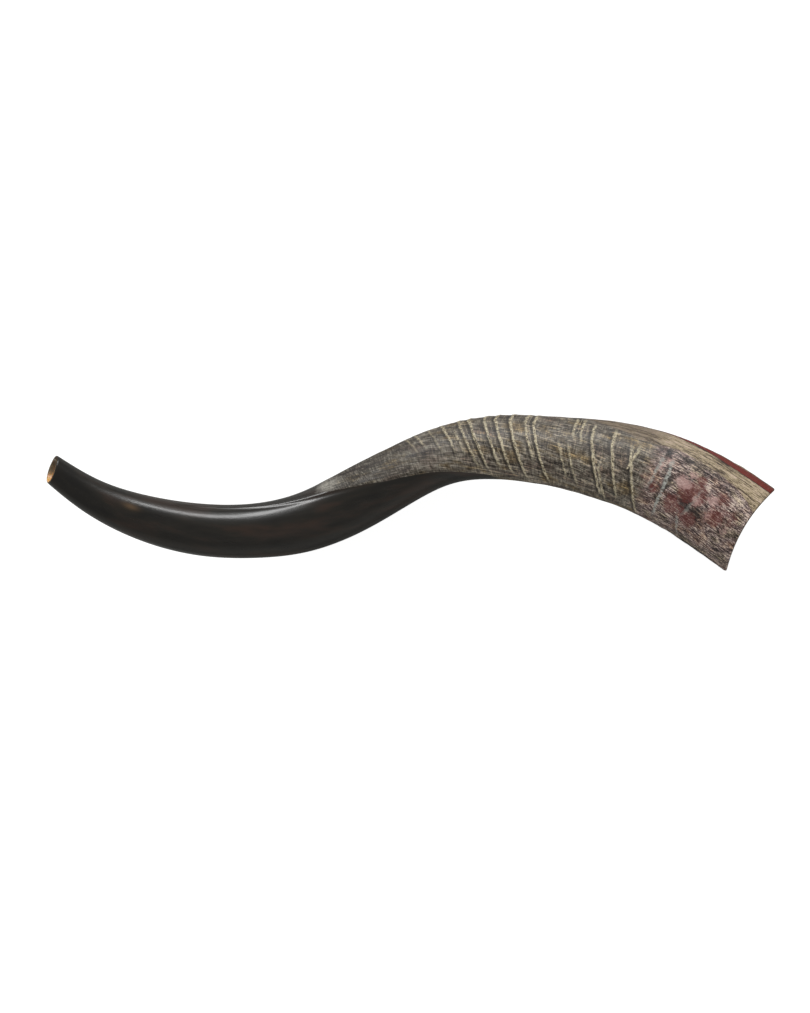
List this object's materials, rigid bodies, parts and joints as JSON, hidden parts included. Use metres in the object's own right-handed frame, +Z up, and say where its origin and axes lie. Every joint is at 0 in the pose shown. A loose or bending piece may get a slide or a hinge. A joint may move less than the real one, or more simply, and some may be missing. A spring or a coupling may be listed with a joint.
{
  "type": "shofar",
  "caption": "Long twisted shofar of natural horn: drilled and cupped at the black polished tip, ridged and left raw towards an open flared bell.",
  "frame": {"origin": "under the middle of the horn's bounding box, on the surface it lies on", "axes": "+X along the length from mouth to bell, +Z up, +Y to the left of a person looking from the mouth to the bell"},
  "size_m": [0.5488, 0.1254, 0.1363],
  "materials": {
    "amber_core": "cut and smoothed translucent horn core",
    "polished_black_horn": "ground smooth and polished near-black horn",
    "raw_grey_horn": "raw weathered grey-brown horn with fine lengthwise grain",
    "scarred_horn": "raw scarred horn with maroon and whitish patches",
    "cream_horn": "raw cream horn streaked lengthwise, red-brown at its edge",
    "growth_ring": "raised cream growth ring"
  },
  "bodies": {
    "root": {"mouth_cup": "amber_core", "black_tip": "polished_black_horn", "polished_stem": "polished_black_horn", "ridged_wall": "raw_grey_horn", "bell_wall": "scarred_horn", "keel_band": "cream_horn", "growth_rings": "growth_ring"}
  },
  "joints": []
}
